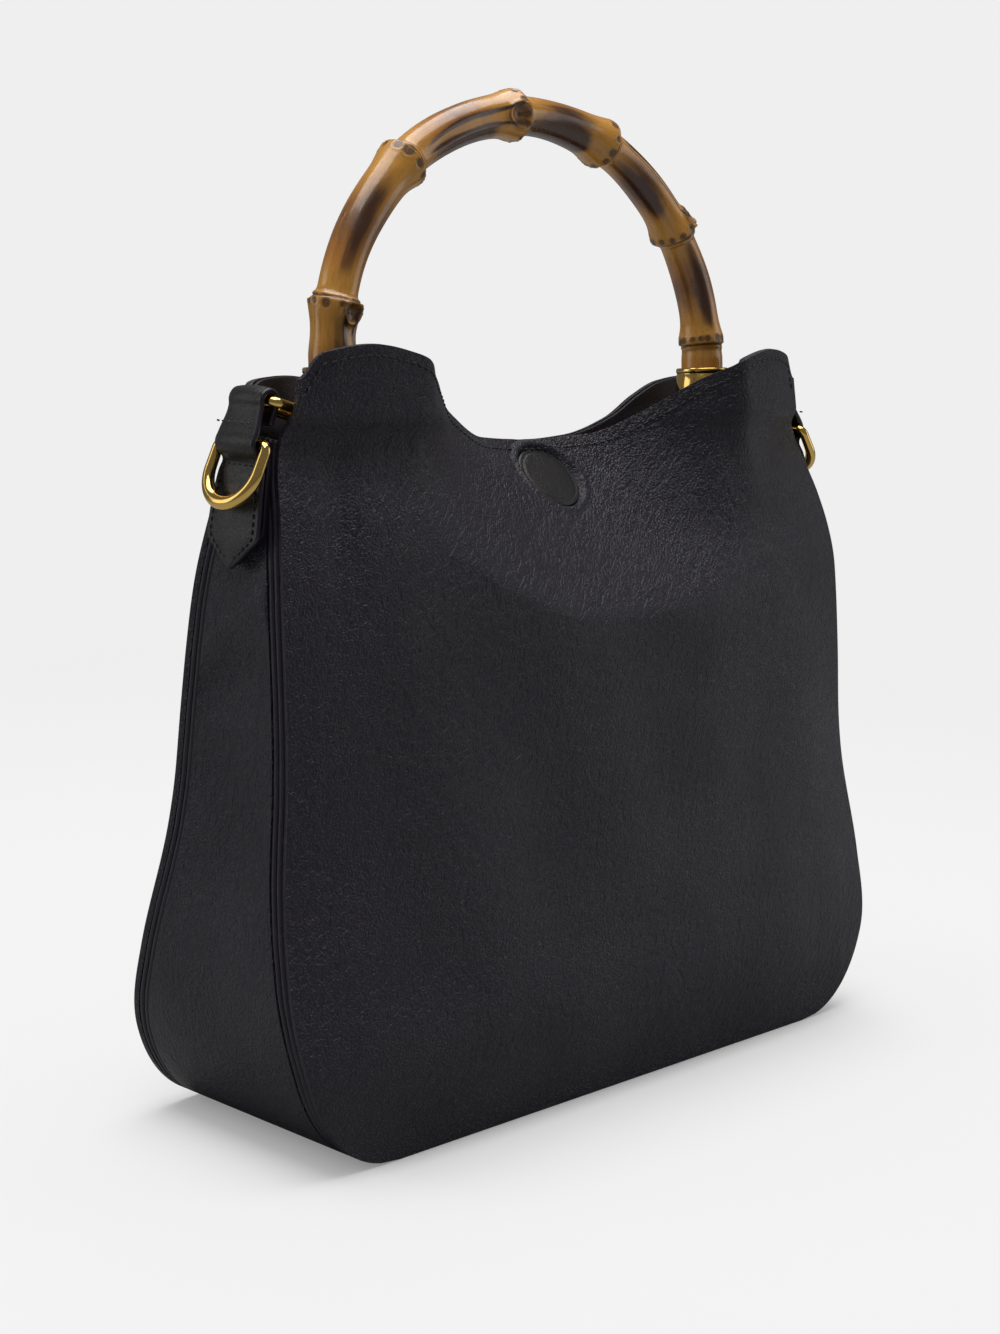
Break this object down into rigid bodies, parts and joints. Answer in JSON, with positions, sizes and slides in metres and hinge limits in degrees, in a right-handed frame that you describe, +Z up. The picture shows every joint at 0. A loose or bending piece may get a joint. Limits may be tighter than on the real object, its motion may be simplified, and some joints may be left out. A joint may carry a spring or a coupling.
{
  "type": "leather handbag",
  "caption": "Soft black leather shoulder bag with a scooped open top, magnetic closure, side D-rings and an arched bamboo handle on brass rings.",
  "frame": {"origin": "on the ground under the middle of the bag", "axes": "+Z up, +X to the right seen from the front, front towards -Y"},
  "size_m": [0.2998, 0.0976, 0.3405],
  "materials": {
    "black_leather": "soft pebbled black calf leather with a low sheen",
    "piping_leather": "smooth black leather stretched over a cord",
    "facing_leather": "black leather inside the mouth",
    "lining_fabric": "matt dark cotton lining",
    "base_board": "stiffener board, hidden between gusset and lining",
    "magnet": "nickel-plated disc magnet",
    "tab_leather": "smooth black strap leather with painted edges",
    "brass": "polished gold-toned brass",
    "bamboo": "heat-bent bamboo root, burnt and lacquered"
  },
  "bodies": {
    "bag": {"front_panel": "black_leather", "back_panel": "black_leather", "gusset": "black_leather", "front_piping": "piping_leather", "front_welt": "piping_leather", "back_piping": "piping_leather", "back_welt": "piping_leather", "front_facing": "facing_leather", "back_facing": "facing_leather", "front_lining": "lining_fabric", "back_lining": "lining_fabric", "gusset_lining": "lining_fabric", "base_board": "base_board", "front_magnet": "magnet", "back_magnet": "magnet", "front_magnet_cover": "tab_leather", "left_tab": "tab_leather", "right_tab": "tab_leather", "left_tab_backing": "tab_leather", "right_tab_backing": "tab_leather"},
    "handle": {"bamboo_handle": "bamboo", "left_ferrule": "brass", "right_ferrule": "brass", "left_ferrule_pin": "brass", "right_ferrule_pin": "brass"},
    "left_handle_ring": {"left_handle_ring": "brass"},
    "right_handle_ring": {"right_handle_ring": "brass"},
    "left_d_ring": {"left_d_ring": "brass"},
    "right_d_ring": {"right_d_ring": "brass"}
  },
  "joints": [
    {"name": "handle_swing", "type": "hinge", "parent": "bag", "child": "handle", "pos_m": [-0.0061, 0.004, 0.2274], "axis": [1, 0, 0], "range_deg": [-12, 30]},
    {"name": "left_d_ring_swing", "type": "hinge", "parent": "bag", "child": "left_d_ring", "pos_m": [-0.14105, 0, 0.224], "axis": [0, 1, 0], "range_deg": [0, 130]},
    {"name": "right_d_ring_swing", "type": "hinge", "parent": "bag", "child": "right_d_ring", "pos_m": [0.13114, 0, 0.224], "axis": [0, -1, 0], "range_deg": [0, 130]},
    {"name": "left_handle_ring_play", "type": "hinge", "parent": "bag", "child": "left_handle_ring", "pos_m": [-0.137, 0, 0.237], "axis": [0, 1, 0], "range_deg": [-2.4, 2.4]},
    {"name": "right_handle_ring_play", "type": "hinge", "parent": "bag", "child": "right_handle_ring", "pos_m": [0.12479, 0, 0.237], "axis": [0, -1, 0], "range_deg": [-2.4, 2.4]}
  ]
}
